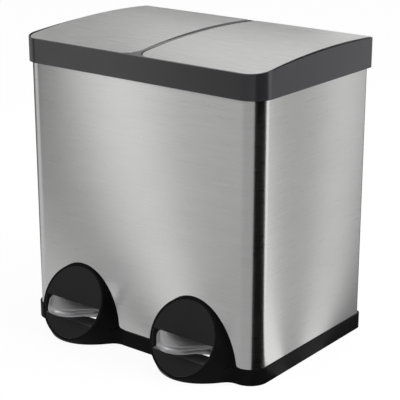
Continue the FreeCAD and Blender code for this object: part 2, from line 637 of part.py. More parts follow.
def halfMoon(name, inset, low, high):
    """Half-moon plate: round nose, straight flanks, round shoulders and a straight back."""
    body = newBody(name)
    sketch = sketchOn(body, f"{name}_outline", "XY_Plane", x="podOffset", z=low)
    width, nose = f"pedalHalfWidth - ({inset})", f"pedalNose - ({inset})"
    shoulder, noseBack = f"pedalShoulder - ({inset})", "pedalReach - pedalNose"
    side, tip, bend = value(width), value(nose), value(shoulder)
    centreY, bendY, back = -value(noseBack), -value("shoulderBack"), -value("pedalBack")
    bendX = side - bend
    apart = math.hypot(bendX, bendY - centreY)
    lean = math.acos((tip - bend) / apart) - math.atan2(bendY - centreY, bendX)
    out = FreeCAD.Vector(math.cos(lean), -math.sin(lean), 0)
    point = FreeCAD.Vector
    noseEnd = point(0, centreY, 0) + out * tip
    bendStart = point(bendX, bendY, 0) + out * bend

    def flipped(place):
        return point(-place.x, place.y, place.z)

    noseCircle = Part.Circle(point(0, centreY, 0), point(0, 0, 1), tip)
    rightCircle = Part.Circle(point(bendX, bendY, 0), point(0, 0, 1), bend)
    leftCircle = Part.Circle(point(-bendX, bendY, 0), point(0, 0, 1), bend)
    outline = [
        Part.ArcOfCircle(noseCircle, math.pi + lean, 2 * math.pi - lean),
        Part.LineSegment(noseEnd, bendStart),
        Part.ArcOfCircle(rightCircle, 2 * math.pi - lean, 2 * math.pi),
        Part.LineSegment(point(side, bendY, 0), point(side, back, 0)),
        Part.LineSegment(point(side, back, 0), point(-side, back, 0)),
        Part.LineSegment(point(-side, back, 0), point(-side, bendY, 0)),
        Part.ArcOfCircle(leftCircle, math.pi, math.pi + lean),
        Part.LineSegment(flipped(bendStart), flipped(noseEnd)),
    ]
    for piece in outline:
        sketch.addGeometry(piece, False)
    for first in range(len(outline)):
        following = (first + 1) % len(outline)
        square = following == 4 or first == 4
        constrain(sketch, "Coincident" if square else "Tangent", first, 2, following, 1)
    constrain(sketch, "PointOnObject", 0, 3, -2)
    constrain(sketch, "Vertical", 3)
    constrain(sketch, "Horizontal", 4)
    constrain(sketch, "Vertical", 5)
    constrain(sketch, "Equal", 2, 6)
    constrain(sketch, "Radius", 0, size=nose)
    constrain(sketch, "Radius", 2, size=shoulder)
    constrain(sketch, "DistanceY", 0, 3, -1, 1, size=noseBack)
    constrain(sketch, "DistanceY", 2, 3, -1, 1, size="shoulderBack")
    constrain(sketch, "DistanceY", 6, 3, -1, 1, size="shoulderBack")
    constrain(sketch, "DistanceX", -1, 1, 3, 2, size=width)
    constrain(sketch, "DistanceX", 4, 2, -1, 1, size=width)
    constrain(sketch, "DistanceY", 3, 2, -1, 1, size="pedalBack")
    pad(body, sketch, f"({high}) - ({low})")
    return body


def roundTopEdges(body, radius, height):
    """Fillet the curved and straight side edges round a plate's top face."""
    document.recompute()
    top, back = value(height), -value("pedalBack")
    names = []
    for index, edge in enumerate(body.Shape.Edges, start=1):
        box3 = edge.BoundBox
        onTop = abs(box3.ZMin - top) < 1e-4 and abs(box3.ZMax - top) < 1e-4
        onBack = abs(box3.YMin - back) < 1e-4
        if onTop and not onBack:
            names.append(f"Edge{index}")
    plate = body.Tip
    feature = body.newObject("PartDesign::Fillet", f"{body.Name}_Fillet")
    feature.Base = (plate, names)
    bind(feature, Radius=radius)
    body.Tip = feature
    return feature


plateOuter = halfMoon("plateOuter", "0", "flangeEndLow", "pedalTop")
roundTopEdges(plateOuter, "pedalRound", "pedalTop")
plateInner = halfMoon("plateInner", "pedalSheet", "flangeEndLow - overcut", "pedalTop - pedalSheet")
roundTopEdges(plateInner, "pedalRound - pedalSheet", "pedalTop - pedalSheet")
# The turned-down edge is even round the nose and grows deeper towards the back.
belowSkirt = profileBar("belowSkirt", [
    ("-2 * pedalReach", "pedalTop - pedalSkirt"),
    ("-flangeFront", "pedalTop - pedalSkirt"),
    ("-pedalBack", "flangeEndLow"),
    ("0", "flangeEndLow"),
    ("0", "0"),
    ("-2 * pedalReach", "0"),
], "4 * pedalHalfWidth", "podOffset")
finish(cut("right_pedal_plate", plateOuter, plateInner, belowSkirt), "right_pedal_plate")

plateUnder = "pedalTop - pedalSheet"
leverBar = profileBar("leverBar", [
    ("-leverFront", plateUnder),
    ("-leverFront", f"{plateUnder} - leverThick"),
    ("-pedalBack", f"{plateUnder} - leverThick"),
    ("pivotY - bossRadius", "pivotZ - leverThick / 2"),
    ("pivotY + bossRadius", "pivotZ - leverThick / 2"),
    ("leverBack", "leverRest - leverThick"),
    ("leverBack", "leverRest"),
    ("pivotY + bossRadius", "pivotZ + leverThick / 2"),
    ("pivotY - bossRadius / 2", "pivotZ + leverThick"),
    ("-pedalBack + leverThick / 2", plateUnder),
], "leverWidth", "podOffset")
leverBoss = cylinder(
    "leverBoss", "bossRadius", "bossLength", "podOffset - bossLength / 2", "pivotY", "pivotZ", "right")
leverBore = cylinder(
    "leverBore", "pinRadius + pinClearance", "2 * bossLength",
    "podOffset - bossLength", "pivotY", "pivotZ", "right",
)
# Studs under the pedal plate pass through the lever and are riveted below it,
# so the plate's top stays clean.
rivets = []
rivetHoles = []
for index, share in enumerate((1, 3)):
    made, hole = screwUp(
        f"pedalRivet{index}", "podOffset", f"-leverFront + {share} * (leverFront - pedalBack) / 4",
        f"{plateUnder} - leverThick", "leverThick",
    )
    rivets.append(made)
    rivetHoles.append(hole)
leverBody = fuse("leverBody", leverBar, leverBoss)
finish(cut("right_pedal_lever", leverBody, leverBore, *rivetHoles), "right_pedal_lever")
finish(group("right_pedal_rivets", rivets), "right_pedal_rivets")

bracketParts = [box(
    "bracketTop",
    (f"podOffset - {EAR_INNER} - bracketSheet", f"podOffset + {EAR_INNER} + bracketSheet"),
    ("pivotY - bracketDepth / 2", "pivotY + bracketDepth / 2"),
    (f"{DECK_UNDER} - bracketSheet", DECK_UNDER),
)]
for side, sign in (("inner", -1), ("outer", 1)):
    middle = f"podOffset + {sign} * ({EAR_INNER} + bracketSheet / 2)"
    bracketParts.append(box(
        f"{side}Ear", (f"{middle} - bracketSheet / 2", f"{middle} + bracketSheet / 2"),
        ("pivotY - earDepth / 2", "pivotY + earDepth / 2"), ("pivotZ - earDepth / 2", DECK_UNDER),
    ))
pinHole = cylinder(
    "pinHole", "pinRadius", "4 * bossLength", "podOffset - 2 * bossLength", "pivotY", "pivotZ", "right")
bracketBody = fuse("bracketBody", *bracketParts)
finish(cut("right_pedal_bracket", bracketBody, pinHole, bracketDrill), "right_pedal_bracket")
finish(group("right_bracket_screws", bracketScrews), "right_bracket_screws")
pinShaft = cylinder(
    "pinShaft", "pinRadius", f"2 * {EAR_INNER} + 2 * bracketSheet + 2 * screwHeadHeight",
    f"podOffset - {EAR_INNER} - bracketSheet - screwHeadHeight", "pivotY", "pivotZ", "right",
)
pinHead = cylinder(
    "pinHead", "pinHeadRadius", "screwHeadHeight",
    f"podOffset + {EAR_INNER} + bracketSheet", "pivotY", "pivotZ", "right",
)
finish(fuse("right_pedal_pin", pinShaft, pinHead), "right_pedal_pin")

# ---------- push rod and lid, right-hand side ----------

rodY = "(hingeY - rodArm)"
leverAtRod = (
    "(pivotZ + leverThick / 2 + (leverRest - pivotZ - leverThick / 2)"
    " * (hingeY - rodArm - pivotY - bossRadius) / (leverBack - pivotY - bossRadius))"
)
# The rod's round top lies armPlay below the arm's sloping underside, whose line
# runs through the hinge.
rodTopZ = "(hingeZ - (rodArm * sin(armSlope) + rodRadius + armPlay) / cos(armSlope))"
rodShank = cylinder(
    "rodShank", "rodRadius", f"{rodTopZ} - {leverAtRod} - rodPlay",
    "podOffset", rodY, f"{leverAtRod} + rodPlay",
)
rodTop = document.addObject("Part::Sphere", "rodTop")
bind(rodTop, Radius="rodRadius")
bind(rodTop, Placement__Base__x="podOffset", Placement__Base__y=rodY, Placement__Base__z=rodTopZ)
finish(fuse("right_push_rod", rodShank, rodTop), "right_push_rod")

guideBlock = box(
    "guideBlock", ("podOffset - guideWidth / 2", "podOffset + guideWidth / 2"),
    (f"{rodY} - rodRadius - guideClearance - plasticWall", "bodyDepth - sheetThick"),
    ("guideZ", "guideZ + guideHeight"),
)
guideHole = cylinder(
    "guideHole", "rodRadius + guideClearance", "3 * guideHeight", "podOffset", rodY, "guideZ - guideHeight")
finish(cut("right_rod_guide", guideBlock, guideHole, guideScrewHole), "right_rod_guide")

LID_FRONT = "(rimWall + lidGap - frameOverhang)"
LID_REAR = "(bodyDepth + frameOverhang - lidRearInset)"
LID_OUTER = "(bodyWidth / 2 + frameOverhang - rimWall - lidGap)"


def lidOutline(sketch, inset, rear):
    """Plan of a right-hand lid: round front corners, inner edge along the tapering bar."""
    front, outer = f"{LID_FRONT} + {inset}", f"{LID_OUTER} - ({inset})"
    innerFront, innerRear = f"barFront + lidGap + {inset}", f"barRear + lidGap + {inset}"
    corner = f"lidCorner - ({inset})"
    lowY, highY, right = value(front), value(rear), value(outer)
    leftLow, leftHigh, radius = value(innerFront), value(innerRear), value(corner)
    lean = math.atan2(leftHigh - leftLow, highY - lowY)
    point = FreeCAD.Vector
    innerCentre = point(leftLow + radius * (1 + math.sin(lean)) / math.cos(lean), lowY + radius, 0)
    touch = innerCentre + point(-radius * math.cos(lean), radius * math.sin(lean), 0)
    outerCentre = point(right - radius, lowY + radius, 0)
    sketch.addGeometry(Part.LineSegment(point(innerCentre.x, lowY, 0), point(outerCentre.x, lowY, 0)), False)
    sketch.addGeometry(Part.LineSegment(point(right, lowY + radius, 0), point(right, highY, 0)), False)
    sketch.addGeometry(Part.LineSegment(point(right, highY, 0), point(leftHigh, highY, 0)), False)
    sketch.addGeometry(Part.LineSegment(point(leftHigh, highY, 0), touch), False)
    innerCircle = Part.Circle(innerCentre, point(0, 0, 1), radius)
    sketch.addGeometry(Part.ArcOfCircle(innerCircle, math.pi - lean, 1.5 * math.pi), False)
    outerCircle = Part.Circle(outerCentre, point(0, 0, 1), radius)
    sketch.addGeometry(Part.ArcOfCircle(outerCircle, 1.5 * math.pi, 2 * math.pi), False)
    sketch.addGeometry(Part.Point(point(leftLow, lowY, 0)), True)
    constrain(sketch, "Tangent", 3, 2, 4, 1)
    constrain(sketch, "Tangent", 4, 2, 0, 1)
    constrain(sketch, "Tangent", 0, 2, 5, 1)
    constrain(sketch, "Tangent", 5, 2, 1, 1)
    constrain(sketch, "Coincident", 1, 2, 2, 1)
    constrain(sketch, "Coincident", 2, 2, 3, 1)
    constrain(sketch, "Horizontal", 0)
    constrain(sketch, "Vertical", 1)
    constrain(sketch, "Horizontal", 2)
    constrain(sketch, "Equal", 4, 5)
    constrain(sketch, "PointOnObject", 6, 1, 3)
    constrain(sketch, "PointOnObject", 6, 1, 0)
    constrain(sketch, "Radius", 4, size=corner)
    constrain(sketch, "DistanceX", -1, 1, 6, 1, size=innerFront)
    constrain(sketch, "DistanceX", -1, 1, 3, 1, size=innerRear)
    constrain(sketch, "DistanceX", -1, 1, 1, 1, size=outer)
    constrain(sketch, "DistanceY", -1, 1, 0, 1, size=front)
    constrain(sketch, "DistanceY", -1, 1, 2, 1, size=rear)


def lidPrism(name, inset, low, high, rear):
    body = newBody(name)
    sketch = sketchOn(body, f"{name}_outline", "XY_Plane", z=low)
    lidOutline(sketch, inset, rear)
    pad(body, sketch, f"({high}) - ({low})")
    return body


skinOuter = common(
    "skinOuter",
    lidPrism("skinBlock", "0", "skinBottom", "lidPeak + overcut", LID_REAR),
    archCylinder("skinArch", "lidArch", "lidPeak"),
)
skinInner = common(
    "skinInner",
    lidPrism("skinRoom", "sheetThick", "lidBottom", "lidPeak + overcut", f"{LID_REAR} - sheetThick"),
    archCylinder("skinRoomArch", "lidArch - sheetThick", "lidPeak - sheetThick"),
)
hingeBore = cylinder(
    "hingeBore", "hingeRod + hingeClearance", "2 * bodyWidth", "-bodyWidth", "hingeY", "hingeZ", "right")
finish(cut("right_lid_skin", skinOuter, skinInner, hingeBore), "right_lid_skin")

linerInset = "(sheetThick + linerFit)"
linerBlock = common(
    "linerBlock",
    lidPrism("linerOutline", linerInset, "lidBottom", "lidPeak + overcut", f"{LID_REAR} - {linerInset}"),
    archCylinder("linerArch", f"lidArch - {linerInset}", f"lidPeak - {linerInset}"),
)
linerHollow = common(
    "linerHollow",
    lidPrism(
        "linerHollowOutline", f"{linerInset} + linerWall", "lidBottom - overcut", "lidPeak + overcut",
        "hollowRear",
    ),
    archCylinder("hollowArch", f"lidArch - {linerInset} - linerWall", f"lidPeak - {linerInset} - linerWall"),
)
behindHinge = box(
    "behindHinge", ("-bodyWidth", "bodyWidth"), ("hingeY", "hingeY + bodyDepth"),
    ("lidBottom - overcut", "hingeZ"),
)
barrelInner = "(barRear + 2 * lidGap)"
barrelOuter = f"({LID_OUTER} - {linerInset})"
hingeBarrel = cylinder(
    "hingeBarrel", "barrelRadius", f"{barrelOuter} - {barrelInner}", barrelInner, "hingeY", "hingeZ", "right")

# Lift arm: a flange on the liner's underside and a fin whose sloping edge the rod pushes.
finFront = f"({rodY} - finReach)"
finLow = f"hingeZ - (hingeY - {finFront}) * tan(armSlope)"
flangeLow = "lidBottom - bracketSheet"
finRear = f"hingeY - (hingeZ - ({flangeLow})) / tan(armSlope)"
armFin = profileBar("armFin", [
    (finFront, flangeLow), (finFront, finLow), (finRear, flangeLow),
], "armThick", "podOffset")
armFlange = box(
    "armFlange", ("podOffset - flangeSide", "podOffset + flangeSide"),
    (f"{finFront} - flangeReach", finRear), (flangeLow, "lidBottom"),
)
armScrews = []
armHoles = []
for index, sign in enumerate((-1, 1)):
    made, hole = screwUp(
        f"armScrew{index}", f"podOffset + {sign} * armScrewSide", f"{finFront} + screwHead",
        flangeLow, "armScrew",
    )
    armScrews.append(made)
    armHoles.append(hole)
finish(group("right_arm_screws", armScrews), "right_arm_screws")
armDrill = fuse("armDrill", *armHoles)
finish(cut("right_lift_arm", fuse("armSolid", armFin, armFlange), armDrill), "right_lift_arm")
linerSolid = fuse("linerSolid", cut("linerOpen", linerBlock, linerHollow, behindHinge), hingeBarrel)
finish(cut("right_lid_liner", linerSolid, hingeBore, armDrill), "right_lid_liner")

# ---------- lid frame ----------

frameBlock = common(
    "frameBlock",
    prism(
        "frameOutline", "frameBottom", "rimPeak + overcut",
        "bodyWidth + 2 * frameOverhang", "bodyDepth + 2 * frameOverhang",
        "frontCorner + frameOverhang", "frameRearCorner",
    ),
    archCylinder("rimArchTool", "rimArch", "rimPeak"),
)
lidRecess = lidPrism(
    "lidRecess", "-lidGap", "ledgeTop", "lidPeak + 2 * overcut", "bodyDepth + 2 * frameOverhang")
bucketOpening = box(
    "bucketOpening", ("openingInner", "openingSide"), ("openingFront", "openingRear"),
    ("0", "lidPeak + 2 * overcut"),
)
rightFrameCuts = fuse("rightFrameCuts", lidRecess, bucketOpening)
leftFrameCuts = mirrored("leftFrameCuts", rightFrameCuts)
rodHoles = cylinder(
    "rodHoles", "hingeRod", "bodyWidth + 2 * frameOverhang - 2 * rimWall / 3",
    "-bodyWidth / 2 - frameOverhang + rimWall / 3", "hingeY", "hingeZ", "right",
)
finish(cut(
    "lid_frame", frameBlock, rightFrameCuts, leftFrameCuts,
    steelGroove("frameGroove", "frameBottom - overcut", "frameBottom + grooveDepth"), rodHoles,
    frameScrewHole, mirrored("leftFrameScrewHole", frameScrewHole),
), "lid_frame")
finish(cylinder(
    "hinge_rod", "hingeRod", "bodyWidth + 2 * frameOverhang - 2 * rimWall / 3",
    "-bodyWidth / 2 - frameOverhang + rimWall / 3", "hingeY", "hingeZ", "right",
), "hinge_rod")
bumpers = []
for index, sign in enumerate((-1, 1)):
    middle = f"podOffset + {sign} * bumperSide"
    bumpers.append(box(
        f"bumper{index}", (f"{middle} - bumperLength / 2", f"{middle} + bumperLength / 2"),
        (f"{LID_FRONT} + lidGap", "openingFront - lidGap"), ("ledgeTop", "lidBottom - bumperGap"),
    ))
rightBumpers = group("rightBumpers", bumpers)
finish(group("lid_bumpers", [rightBumpers, mirrored("leftBumpers", rightBumpers)]), "lid_bumpers")

# ---------- bucket and its handle, right-hand side ----------

BUCKET_X = "(openingInner + openingSide) / 2"
BUCKET_Y = "bucketFront + bucketDepth / 2"
BUCKET_LOW = "(deckTop + bucketSeat)"
WALL_HIGH = "(bucketWidth - 2 * bucketRim)"
WALL_DEEP = "(bucketDepth - 2 * bucketRim)"


def bucketBlock(name, inset, low):
    """Tapering block of the bucket down to a height, or with an inset the room inside it."""
    body = newBody(name)
    sketch = sketchOn(body, f"{name}_mouth", "XY_Plane", x=BUCKET_X, y=BUCKET_Y, z="bucketTop")
    corner = f"bucketCorner - ({inset})"
    roundedRectangle(sketch, f"{WALL_HIGH} - 2 * ({inset})", f"{WALL_DEEP} - 2 * ({inset})", corner, corner)
    feature = pad(body, sketch, f"bucketTop - ({low})")
    feature.Reversed = True
    bind(feature, TaperAngle=f"-atan(bucketDraft / (bucketTop - {BUCKET_LOW}))")
    return body


rimBlock = prism(
    "rimBlock", "bucketTop - bucketRimHeight", "bucketTop", "bucketWidth", "bucketDepth",
    "bucketCorner + bucketRim", "bucketCorner + bucketRim", x=BUCKET_X, y=BUCKET_Y,
)
bucketOuter = bucketBlock("bucketOuter", "0", BUCKET_LOW)
bucketRoom = bucketBlock("bucketRoom", "bucketWall", f"{BUCKET_LOW} + bucketWall")
lugBar = cylinder(
    "lugBar", "lugRadius", "bucketWidth", f"{BUCKET_X} - bucketWidth / 2", BUCKET_Y, "bailZ", "right")
lugBore = cylinder(
    "lugBore", "bailRadius + bailClearance", "2 * bucketWidth",
    f"{BUCKET_X} - bucketWidth", BUCKET_Y, "bailZ", "right",
)
restLow = "bailZ - gripRadius - bucketSeat - bucketRim"
bailRest = box(
    "bailRest", (f"{BUCKET_X} - restWidth / 2", f"{BUCKET_X} + restWidth / 2"),
    ("bucketFront - bailGap - 2 * gripRadius", "bucketFront + bucketRim + bucketDraft"),
    (restLow, f"{restLow} + bucketRim"),
)
finish(cut(
    "right_bucket", fuse("bucketBody", bucketOuter, rimBlock, lugBar, bailRest), bucketRoom, lugBore,
), "right_bucket")


def bentWire(corners, bends, radius):
    """Round wire through corners, each inner corner bent to its own radius."""
    edges = []
    start = corners[0]
    for before, corner, after, bend in zip(corners, corners[1:], corners[2:], bends):
        into = (before - corner).normalize()
        out = (after - corner).normalize()
        half = into.getAngle(out) / 2
        middle = corner + (into + out).normalize() * (bend / math.sin(half))
        touch = corner + into * (bend / math.tan(half))
        leave = corner + out * (bend / math.tan(half))
        inner = middle - (into + out).normalize() * bend
        edges.append(Part.LineSegment(start, touch).toShape())
        edges.append(Part.Arc(touch, inner, leave).toShape())
        start = leave
    edges.append(Part.LineSegment(start, corners[-1]).toShape())
    first = corners[1] - corners[0]
    section = Part.Wire(Part.Circle(corners[0], first, radius).toShape())
    return Part.Wire(edges).makePipeShell([section], True, False)


def bailShape():
    middleX, middleY, height = value(BUCKET_X), value(BUCKET_Y), value("bailZ")
    arm = value("bucketWidth / 2 + bailGap + bailRadius")
    end = value("bucketWidth / 2 - bailEnd")
    reach = value("bucketDepth / 2 + bailGap + gripRadius")
    elbow, bend = value("bailElbow"), value("bailBend")
    plan = [(-end, 0), (-arm, 0), (-arm, -reach), (arm, -reach), (arm, 0), (end, 0)]
    corners = [FreeCAD.Vector(middleX + across, middleY + along, height) for across, along in plan]
    return bentWire(corners, [elbow, bend, bend, elbow], value("bailRadius"))


rightBail = document.addObject("Part::Feature", "right_bail")
rightBail.Shape = bailShape()
finish(rightBail, "right_bail")
GRIP_Y = "bucketFront - bailGap - gripRadius"
gripTube = cylinder(
    "gripTube", "gripRadius", "gripLength", f"{BUCKET_X} - gripLength / 2", GRIP_Y, "bailZ", "right")
gripBore = cylinder(
    "gripBore", "bailRadius", "2 * gripLength", f"{BUCKET_X} - gripLength", GRIP_Y, "bailZ", "right")
finish(cut("right_bail_grip", gripTube, gripBore), "right_bail_grip")

# ---------- left-hand pieces, places, checks and files ----------

for piece in list(SUB_PARTS):
    if piece.Label.startswith("right_"):
        leftName = piece.Label.replace("right_", "left_")
        finish(mirrored(leftName, piece), leftName)
document.recompute()

placed = []
for piece in SUB_PARTS:
    whole = document.addObject("Part::Compound", f"{piece.Name}_placed")
    whole.Links = [piece]
    bind(whole, Placement__Base__y=ORIGIN_SHIFT)
    placed.append((piece.Label, whole))
document.recompute()

for feature in document.Objects:
    if "Invalid" in feature.State or "Error" in feature.State:
        raise RuntimeError(f"{feature.Label} failed: {feature.State}")
os.makedirs("parts", exist_ok=True)
for label, whole in placed:
    shape = whole.Shape
    if shape.isNull() or not shape.isValid():
        raise RuntimeError(f"{label} has no valid shape")
    shape.exportStep(os.path.join("parts", f"{label}.step"))
    bounds = shape.BoundBox
    print(f"{label}: {len(shape.Solids)} solid(s), {shape.Volume / 1000:.1f} cm3, top at {bounds.ZMax:.1f} mm")
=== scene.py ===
import math

import bpy
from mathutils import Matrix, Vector


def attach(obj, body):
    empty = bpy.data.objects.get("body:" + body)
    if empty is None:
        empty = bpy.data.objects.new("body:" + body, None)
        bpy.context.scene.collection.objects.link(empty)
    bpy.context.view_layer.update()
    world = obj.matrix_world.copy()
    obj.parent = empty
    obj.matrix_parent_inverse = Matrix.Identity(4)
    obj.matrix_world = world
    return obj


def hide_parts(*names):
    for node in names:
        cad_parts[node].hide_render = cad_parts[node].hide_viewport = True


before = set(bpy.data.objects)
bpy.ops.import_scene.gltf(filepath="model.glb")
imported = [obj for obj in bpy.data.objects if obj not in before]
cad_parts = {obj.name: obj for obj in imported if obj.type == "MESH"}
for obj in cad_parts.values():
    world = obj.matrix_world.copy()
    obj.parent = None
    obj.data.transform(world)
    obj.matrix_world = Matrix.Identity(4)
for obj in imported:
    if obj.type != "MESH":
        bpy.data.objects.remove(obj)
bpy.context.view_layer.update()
context = bpy.context
frontWall = -0.1032  # Y of the steel front
sides = (("right", 1), ("left", -1))


def pickOnly(*pieces):
    if context.object and context.object.mode != "OBJECT":
        bpy.ops.object.mode_set(mode="OBJECT")
    bpy.ops.object.select_all(action="DESELECT")
    for piece in pieces:
        piece.select_set(True)
    context.view_layer.objects.active = pieces[0]


pickOnly(*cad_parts.values())
bpy.ops.object.select_all(action="DESELECT")


# shader helpers

def addNode(tree, kind, **settings):
    node = tree.nodes.new(kind)
    for name, wanted in settings.items():
        setattr(node, name, wanted)
    return node


def mathNode(tree, operation, first, second=None, clamp=False):
    node = addNode(tree, "ShaderNodeMath", operation=operation, use_clamp=clamp)
    for slot, given in enumerate((first, second)):
        if given is None:
            continue
        if isinstance(given, (int, float)):
            node.inputs[slot].default_value = given
        else:
            tree.links.new(given, node.inputs[slot])
    return node.outputs[0]


def noiseNode(tree, vector, scale, detail=2.0, roughness=0.5):
    node = addNode(tree, "ShaderNodeTexNoise")
    node.inputs["Scale"].default_value = scale
    node.inputs["Detail"].default_value = detail
    node.inputs["Roughness"].default_value = roughness
    tree.links.new(vector, node.inputs["Vector"])
    return node.outputs["Fac"]


def rangeNode(tree, given, low, high, newLow, newHigh):
    node = addNode(tree, "ShaderNodeMapRange")
    for name, wanted in zip(("From Min", "From Max", "To Min", "To Max"), (low, high, newLow, newHigh)):
        if isinstance(wanted, (int, float)):
            node.inputs[name].default_value = wanted
        else:
            tree.links.new(wanted, node.inputs[name])
    tree.links.new(given, node.inputs["Value"])
    return node.outputs["Result"]


def newGroup(name, inputs, outputs):
    group = bpy.data.node_groups.new(name, "ShaderNodeTree")
    for label, kind, start in inputs:
        socket = group.interface.new_socket(name=label, in_out="INPUT", socket_type=kind)
        if start is not None:
            socket.default_value = start
    for label, kind in outputs:
        group.interface.new_socket(name=label, in_out="OUTPUT", socket_type=kind)
    return group, addNode(group, "NodeGroupInput"), addNode(group, "NodeGroupOutput")


def brushedGroup():
    # streaks that run long along the grain and change fast across it
    group, given, result = newGroup(
        "brushedGrain",
        [("Vector", "NodeSocketVector", None), ("Strength", "NodeSocketFloat", 1.0)],
        [("Streaks", "NodeSocketFloat"), ("Clouds", "NodeSocketFloat"), ("Height", "NodeSocketFloat")],
    )
    vector = given.outputs["Vector"]
    fine = noiseNode(group, vector, 1.0, 1.0, 0.5)
    wide = addNode(group, "ShaderNodeMapping")
    wide.inputs["Scale"].default_value = (0.3, 0.3, 0.3)
    wide.inputs["Location"].default_value = (7.3, 2.1, 4.7)
    group.links.new(vector, wide.inputs["Vector"])
    coarse = noiseNode(group, wide.outputs["Vector"], 1.0, 2.0, 0.5)
    finePart = mathNode(group, "MULTIPLY", fine, 0.6)
    mixed = mathNode(group, "ADD", finePart, mathNode(group, "MULTIPLY", coarse, 0.4))
    spread = mathNode(group, "MULTIPLY", mathNode(group, "SUBTRACT", mixed, 0.5), given.outputs["Strength"])
    streaks = mathNode(group, "ADD", spread, 0.5, clamp=True)
    soft = addNode(group, "ShaderNodeMapping")
    soft.inputs["Scale"].default_value = (0.3, 0.3, 0.02)
    group.links.new(vector, soft.inputs["Vector"])
    clouds = noiseNode(group, soft.outputs["Vector"], 1.0, 2.0, 0.5)
    group.links.new(streaks, result.inputs["Streaks"])
    group.links.new(clouds, result.inputs["Clouds"])
    group.links.new(fine, result.inputs["Height"])
    return group


def mouldedGroup():
    # the faint pebble and uneven sheen of a moulded plastic skin
    group, given, result = newGroup(
        "mouldedSkin",
        [("Vector", "NodeSocketVector", None), ("Grain", "NodeSocketFloat", 1500.0)],
        [("Sheen", "NodeSocketFloat"), ("Tint", "NodeSocketFloat"), ("Height", "NodeSocketFloat")],
    )
    vector = given.outputs["Vector"]
    pebble = addNode(group, "ShaderNodeTexNoise")
    pebble.inputs["Detail"].default_value = 2.0
    group.links.new(vector, pebble.inputs["Vector"])
    group.links.new(given.outputs["Grain"], pebble.inputs["Scale"])
    flow = noiseNode(group, vector, 22.0, 3.0, 0.55)
    broad = noiseNode(group, vector, 7.0, 2.0, 0.5)
    flowPart = mathNode(group, "MULTIPLY", flow, 0.7)
    sheen = mathNode(group, "ADD", flowPart, mathNode(group, "MULTIPLY", pebble.outputs["Fac"], 0.3))
    group.links.new(sheen, result.inputs["Sheen"])
    group.links.new(broad, result.inputs["Tint"])
    group.links.new(pebble.outputs["Fac"], result.inputs["Height"])
    return group


brushedGrain = brushedGroup()
mouldedSkin = mouldedGroup()


def newMaterial(name):
    material = bpy.data.materials.new(name)
    material.use_nodes = True
    tree = material.node_tree
    shader = tree.nodes["Principled BSDF"]
    return material, tree, shader


def tintMix(tree, factor, dark, light, shader):
    mix = addNode(tree, "ShaderNodeMix", data_type="RGBA")
    mix.inputs["A"].default_value = (*dark, 1)
    mix.inputs["B"].default_value = (*light, 1)
    tree.links.new(factor, mix.inputs["Factor"])
    tree.links.new(mix.outputs["Result"], shader.inputs["Base Color"])


def steelMaterial(name, look):
    material, tree, shader = newMaterial(name)
    where = addNode(tree, "ShaderNodeTexCoord")
    stretch = addNode(tree, "ShaderNodeMapping")
    stretch.inputs["Scale"].default_value = look["stretch"]
    tree.links.new(where.outputs["Object"], stretch.inputs["Vector"])
    grain = addNode(tree, "ShaderNodeGroup", node_tree=brushedGrain)
    grain.inputs["Strength"].default_value = look["streaks"]
    tree.links.new(stretch.outputs["Vector"], grain.inputs["Vector"])
    both = mathNode(
        tree, "ADD", mathNode(tree, "MULTIPLY", grain.outputs["Streaks"], 0.75),
        mathNode(tree, "MULTIPLY", grain.outputs["Clouds"], 0.25))
    tintMix(tree, both, look["dark"], look["light"], shader)
    rough = rangeNode(tree, grain.outputs["Streaks"], 0.2, 0.8, *look["roughness"])
    tree.links.new(rough, shader.inputs["Roughness"])
    height = mathNode(tree, "MULTIPLY", grain.outputs["Height"], look["scratch"])
    if look.get("bulge"):
        # shaded as if the front swelled by 9 mm and the sides by 6 mm; the sheet stays flat
        apart = addNode(tree, "ShaderNodeSeparateXYZ")
        tree.links.new(where.outputs["Object"], apart.inputs["Vector"])
        for axis, (middle, swell) in zip("XY", look["bulge"]):
            offset = mathNode(tree, "SUBTRACT", apart.outputs[axis], middle)
            square = mathNode(tree, "MULTIPLY", mathNode(tree, "MULTIPLY", offset, offset), swell)
            height = mathNode(tree, "SUBTRACT", height, square)
        # and as if it turned 3 mm away before its left fold; this shows little
        edge, swell = look["fold"]
        offset = mathNode(tree, "MAXIMUM", mathNode(tree, "SUBTRACT", edge, apart.outputs["X"]), 0.0)
        square = mathNode(tree, "MULTIPLY", mathNode(tree, "MULTIPLY", offset, offset), swell)
        height = mathNode(tree, "SUBTRACT", height, square)
    bump = addNode(tree, "ShaderNodeBump")
    bump.inputs["Strength"].default_value = 1.0
    bump.inputs["Distance"].default_value = 1.0
    tree.links.new(height, bump.inputs["Height"])
    tree.links.new(bump.outputs["Normal"], shader.inputs["Normal"])
    shader.inputs["Metallic"].default_value = 1.0
    shader.inputs["Anisotropic"].default_value = look["pull"]
    shader.inputs["Anisotropic Rotation"].default_value = 0.25
    return material


